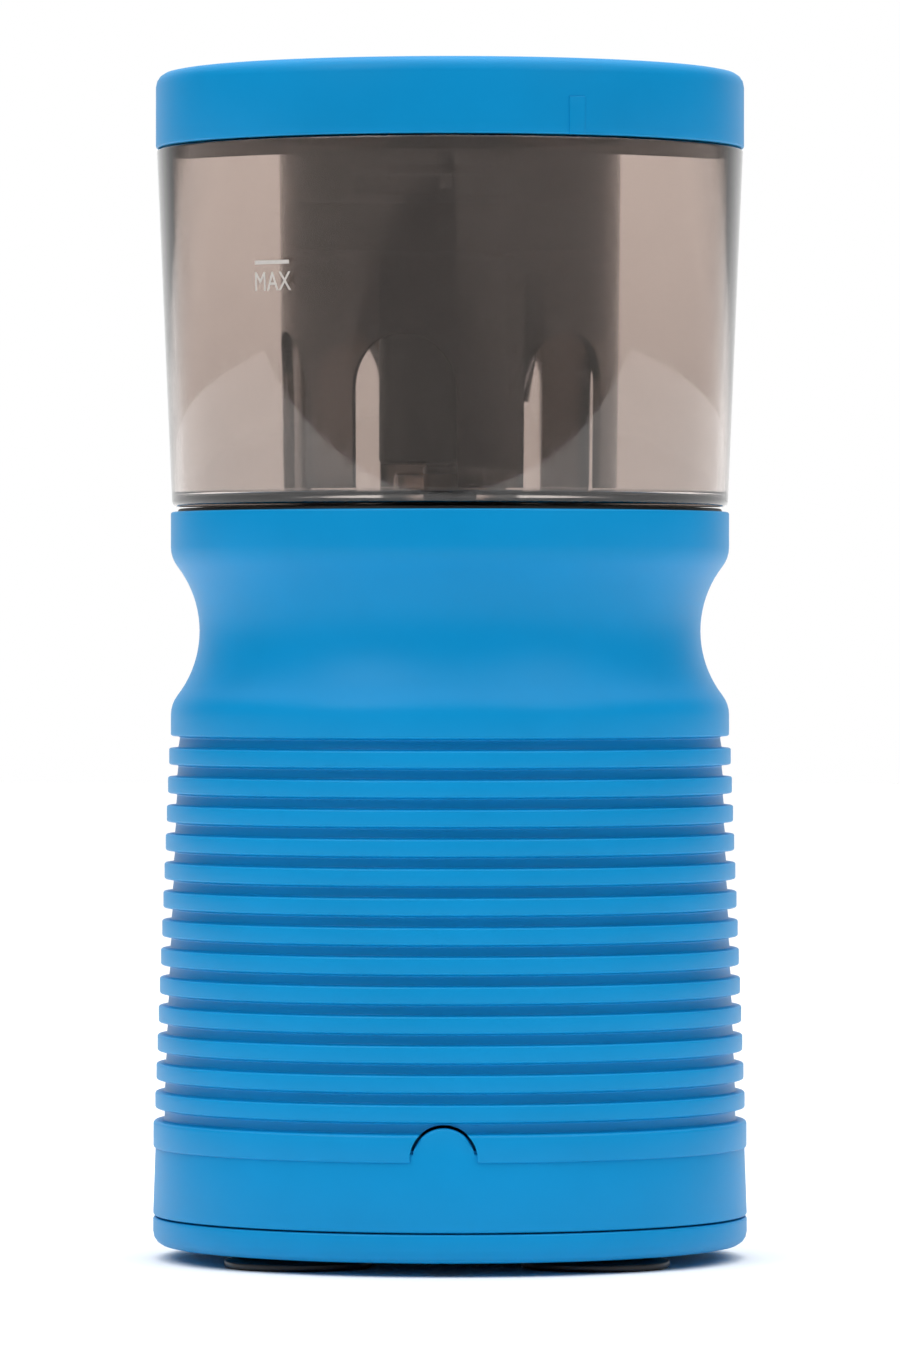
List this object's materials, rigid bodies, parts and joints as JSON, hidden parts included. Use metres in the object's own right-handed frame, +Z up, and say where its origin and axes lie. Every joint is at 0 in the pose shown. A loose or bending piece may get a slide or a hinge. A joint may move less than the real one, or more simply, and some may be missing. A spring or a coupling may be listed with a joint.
{
  "type": "electric pencil sharpener",
  "caption": "Upright electric pencil sharpener: clear shavings bin with a hanging cutter guard over a waisted, ribbed motor body on suction cups.",
  "frame": {"origin": "on the surface it stands on, under its axis", "axes": "+Z up along the pencil's way; -Y towards the front, with the key tab; +X to the right"},
  "size_m": [0.112, 0.112, 0.2231],
  "materials": {
    "blue_plastic": "moulded, soft gloss",
    "smoked_clear_plastic": "polished, clear, smoked",
    "smoked_dark_plastic": "polished, dark smoked",
    "black_plastic": "moulded, fine grain",
    "cup_rubber": "smooth",
    "gear_plastic": "moulded acetal",
    "zinc_plated_steel": "zinc plated",
    "hardened_steel": "ground",
    "brass": "machined",
    "armature_winding": "lacquered copper wire",
    "board_laminate": "solder mask"
  },
  "bodies": {
    "root": {"bottom_cover": "blue_plastic", "base_ring": "blue_plastic", "suction_cup_1": "cup_rubber", "suction_cup_2": "cup_rubber", "suction_cup_3": "cup_rubber", "suction_cup_4": "cup_rubber", "cover_screw_1": "zinc_plated_steel", "cover_screw_2": "zinc_plated_steel", "cover_screw_3": "zinc_plated_steel", "cover_screw_4": "zinc_plated_steel", "body_shell": "blue_plastic", "seat_plate": "black_plastic", "circuit_board": "board_laminate", "power_jack": "black_plastic", "gearbox_upper_plate": "zinc_plated_steel", "gearbox_lower_plate": "zinc_plated_steel", "gearbox_post_1": "zinc_plated_steel", "gearbox_post_2": "zinc_plated_steel", "gearbox_post_3": "zinc_plated_steel", "intermediate_axle": "zinc_plated_steel", "spindle_bushing": "brass", "start_switch": "black_plastic", "interlock_switch": "black_plastic", "interlock_spring": "zinc_plated_steel", "motor_can": "zinc_plated_steel", "motor_end_bell": "black_plastic", "motor_screw_1": "zinc_plated_steel", "motor_screw_2": "zinc_plated_steel"},
    "bin": {"shavings_bin": "smoked_clear_plastic"},
    "lid": {"lid_cap": "blue_plastic", "pencil_port": "smoked_dark_plastic", "cutter_guard": "smoked_dark_plastic", "ring_gear": "gear_plastic", "guard_screw_1": "zinc_plated_steel", "guard_screw_2": "zinc_plated_steel"},
    "cutter_head": {"cutter_carrier": "black_plastic", "carrier_retainer": "zinc_plated_steel", "cutter_pin": "hardened_steel"},
    "cutter": {"helical_cutter": "hardened_steel", "cutter_pinion": "brass"},
    "spindle": {"drive_spindle": "zinc_plated_steel", "output_gear": "gear_plastic"},
    "reduction": {"intermediate_gear": "gear_plastic"},
    "rotor": {"motor_shaft": "hardened_steel", "motor_pinion": "brass", "motor_armature": "armature_winding"},
    "start_rod": {"push_rod": "zinc_plated_steel"},
    "interlock": {"interlock_pin": "gear_plastic"}
  },
  "joints": [
    {"name": "bin_lift", "type": "slide", "parent": "root", "child": "bin", "axis": [0, 0, 1], "range_m": [0, 0.06]},
    {"name": "lid_lift", "type": "slide", "parent": "bin", "child": "lid", "axis": [0, 0, 1], "range_m": [0, 0.07]},
    {"name": "spindle_spin", "type": "hinge", "parent": "root", "child": "spindle", "pos_m": [0, 0, 0.13], "axis": [0, 0, 1], "continuous": true},
    {"name": "intermediate_spin", "type": "hinge", "parent": "root", "child": "reduction", "pos_m": [0.024, 0, 0.12], "axis": [0, 0, 1], "continuous": true},
    {"name": "motor_spin", "type": "hinge", "parent": "root", "child": "rotor", "pos_m": [0, 0, 0.08], "axis": [0, 0, 1], "continuous": true},
    {"name": "carrier_spin", "type": "hinge", "parent": "lid", "child": "cutter_head", "pos_m": [0, 0, 0.17], "axis": [0, 0, 1], "continuous": true},
    {"name": "cutter_spin", "type": "hinge", "parent": "cutter_head", "child": "cutter", "pos_m": [0.00763, 0, 0.16197], "axis": [0.1822, 0, 0.9833], "continuous": true},
    {"name": "start_push", "type": "slide", "parent": "root", "child": "start_rod", "axis": [0, 0, 1], "range_m": [-0.0015, 0], "stiffness_N_per_m": 200, "springref_m": 0.001},
    {"name": "interlock_push", "type": "slide", "parent": "root", "child": "interlock", "axis": [0, 0, 1], "range_m": [-0.0015, 0], "stiffness_N_per_m": 200, "springref_m": 0.001, "deforming": ["interlock_spring"]}
  ],
  "couplings": [
    {"joint": "intermediate_spin", "follows": "motor_spin", "ratio": -0.25},
    {"joint": "spindle_spin", "follows": "motor_spin", "ratio": 0.0625},
    {"joint": "carrier_spin", "follows": "motor_spin", "ratio": 0.0625},
    {"joint": "cutter_spin", "follows": "motor_spin", "ratio": -0.1875}
  ]
}
